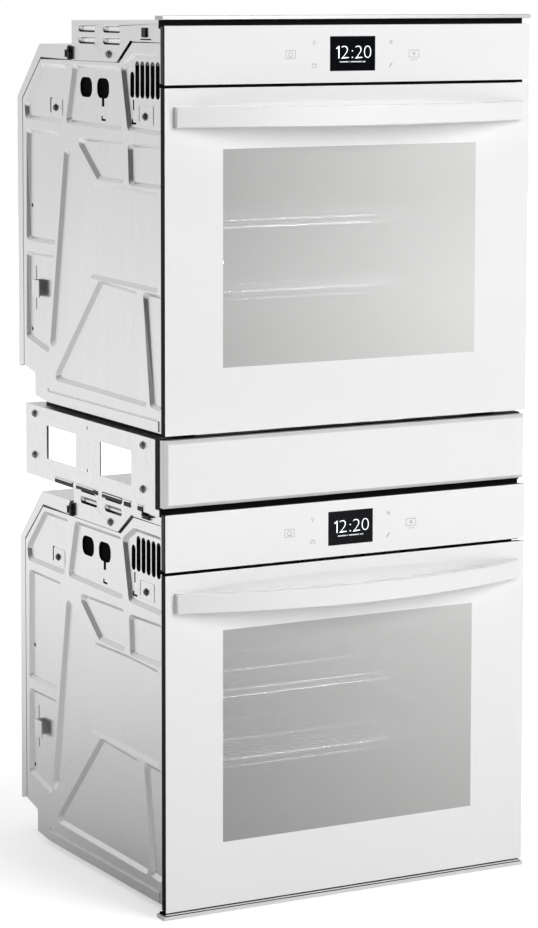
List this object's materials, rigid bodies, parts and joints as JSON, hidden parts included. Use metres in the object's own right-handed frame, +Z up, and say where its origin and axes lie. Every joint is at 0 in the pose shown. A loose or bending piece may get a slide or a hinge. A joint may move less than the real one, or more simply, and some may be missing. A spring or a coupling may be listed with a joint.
{
  "type": "wall oven",
  "caption": "Double built-in electric wall oven with white glass fronts, drop-down doors, bowed handles, stamped steel chassis and a filler panel between the ovens.",
  "frame": {"origin": "middle of the underside of the lower oven's base, which rests on the cabinet floor", "axes": "+X to the right as seen from the front, +Y back into the cabinet, +Z up; the doors face -Y"},
  "size_m": [0.6, 0.596, 1.2682],
  "materials": {
    "white_glass": "white printed tempered glass, polished",
    "pane_glass": "clear low-emissivity pane",
    "white_paint": "semi-gloss white powder coat",
    "black_steel": "satin black enamel",
    "black_plastic": "fine matt moulding",
    "display_black": "gloss black screen",
    "zinc_steel": "bright zinc-coated sheet",
    "spangled_steel": "hot-dip galvanised sheet with a fine spangle",
    "cavity_enamel": "speckled vitreous enamel",
    "chrome_wire": "polished chrome plate",
    "silicone": "matt silicone rubber",
    "wool": "loose glass-wool blanket",
    "element_metal": "oxidised heating-element sheath",
    "aluminium": "satin anodised",
    "motor_steel": "grey laminations and pressed caps",
    "board_green": "solder-masked circuit board",
    "lamp_glass": "ribbed heat-proof glass"
  },
  "bodies": {
    "chassis": {"base_panels": "zinc_steel", "blower_housings": "zinc_steel", "bottom_trim": "aluminium", "broil_elements": "element_metal", "centre_brackets": "spangled_steel", "centre_panel": "white_paint", "centre_panel_frame": "black_steel", "chassis_screws": "zinc_steel", "conduit_gland": "zinc_steel", "control_boards": "board_green", "control_boxes": "black_plastic", "fan_motors": "motor_steel", "hinge_receivers": "zinc_steel", "insulation": "wool", "junction_box": "zinc_steel", "lower_cavity": "cavity_enamel", "lower_control_glass": "white_glass", "lower_display": "display_black", "lower_door_gasket": "silicone", "lower_fan_cover": "cavity_enamel", "lower_front_frame": "black_steel", "lower_left_side_panel": "zinc_steel", "lower_rear_panel": "zinc_steel", "lower_right_side_panel": "zinc_steel", "lower_top_duct": "zinc_steel", "oven_lamps": "lamp_glass", "rack_guides": "chrome_wire", "ring_elements": "element_metal", "temperature_probes": "chrome_wire", "top_trim": "aluminium", "upper_cavity": "cavity_enamel", "upper_control_glass": "white_glass", "upper_display": "display_black", "upper_door_gasket": "silicone", "upper_fan_cover": "cavity_enamel", "upper_front_frame": "black_steel", "upper_left_side_panel": "zinc_steel", "upper_rear_panel": "zinc_steel", "upper_right_side_panel": "zinc_steel", "upper_top_duct": "zinc_steel"},
    "lower_door": {"lower_door_glass": "white_glass", "lower_door_body": "black_steel", "lower_door_inner_glass": "pane_glass", "lower_door_handle": "white_paint", "lower_door_hinges": "zinc_steel"},
    "lower_rack_top_body": {"lower_rack_top": "chrome_wire"},
    "lower_rack_bottom_body": {"lower_rack_bottom": "chrome_wire"},
    "lower_door_switch": {"lower_switch_plunger": "black_plastic"},
    "lower_convection_fan": {"lower_fan_blade": "aluminium"},
    "lower_cooling_blower": {"lower_blower_rotor": "aluminium"},
    "upper_door": {"upper_door_glass": "white_glass", "upper_door_body": "black_steel", "upper_door_inner_glass": "pane_glass", "upper_door_handle": "white_paint", "upper_door_hinges": "zinc_steel"},
    "upper_rack_top_body": {"upper_rack_top": "chrome_wire"},
    "upper_rack_bottom_body": {"upper_rack_bottom": "chrome_wire"},
    "upper_door_switch": {"upper_switch_plunger": "black_plastic"},
    "upper_convection_fan": {"upper_fan_blade": "aluminium"},
    "upper_cooling_blower": {"upper_blower_rotor": "aluminium"}
  },
  "joints": [
    {"name": "lower_door_hinge", "type": "hinge", "parent": "chassis", "child": "lower_door", "pos_m": [0, -0.252, 0.016], "axis": [1, 0, 0], "range_deg": [0, 90], "stiffness_Nm_per_rad": 10, "springref_deg": -28.65},
    {"name": "lower_rack_top_slide", "type": "slide", "parent": "chassis", "child": "lower_rack_top_body", "axis": [0, -1, 0], "range_m": [0, 0.25]},
    {"name": "lower_rack_bottom_slide", "type": "slide", "parent": "chassis", "child": "lower_rack_bottom_body", "axis": [0, -1, 0], "range_m": [0, 0.25]},
    {"name": "lower_door_switch_slide", "type": "slide", "parent": "chassis", "child": "lower_door_switch", "axis": [0, -1, 0], "range_m": [0, 0.005]},
    {"name": "lower_fan_spin", "type": "hinge", "parent": "chassis", "child": "lower_convection_fan", "pos_m": [0, 0.171, 0.245], "axis": [0, 1, 0], "continuous": true},
    {"name": "lower_blower_spin", "type": "hinge", "parent": "chassis", "child": "lower_cooling_blower", "pos_m": [0, 0.03, 0.545], "axis": [1, 0, 0], "continuous": true},
    {"name": "upper_door_hinge", "type": "hinge", "parent": "chassis", "child": "upper_door", "pos_m": [0, -0.252, 0.693], "axis": [1, 0, 0], "range_deg": [0, 90], "stiffness_Nm_per_rad": 10, "springref_deg": -28.65},
    {"name": "upper_rack_top_slide", "type": "slide", "parent": "chassis", "child": "upper_rack_top_body", "axis": [0, -1, 0], "range_m": [0, 0.25]},
    {"name": "upper_rack_bottom_slide", "type": "slide", "parent": "chassis", "child": "upper_rack_bottom_body", "axis": [0, -1, 0], "range_m": [0, 0.25]},
    {"name": "upper_door_switch_slide", "type": "slide", "parent": "chassis", "child": "upper_door_switch", "axis": [0, -1, 0], "range_m": [0, 0.005]},
    {"name": "upper_fan_spin", "type": "hinge", "parent": "chassis", "child": "upper_convection_fan", "pos_m": [0, 0.171, 0.922], "axis": [0, 1, 0], "continuous": true},
    {"name": "upper_blower_spin", "type": "hinge", "parent": "chassis", "child": "upper_cooling_blower", "pos_m": [0, 0.03, 1.222], "axis": [1, 0, 0], "continuous": true}
  ],
  "couplings": [
    {"joint": "lower_rack_top_slide", "follows": "lower_door_hinge", "m_per_rad": 0.159},
    {"joint": "lower_rack_bottom_slide", "follows": "lower_door_hinge", "m_per_rad": 0.159},
    {"joint": "lower_door_switch_slide", "follows": "lower_door_hinge", "m_per_rad": 0.00318},
    {"joint": "upper_rack_top_slide", "follows": "upper_door_hinge", "m_per_rad": 0.159},
    {"joint": "upper_rack_bottom_slide", "follows": "upper_door_hinge", "m_per_rad": 0.159},
    {"joint": "upper_door_switch_slide", "follows": "upper_door_hinge", "m_per_rad": 0.00318}
  ]
}
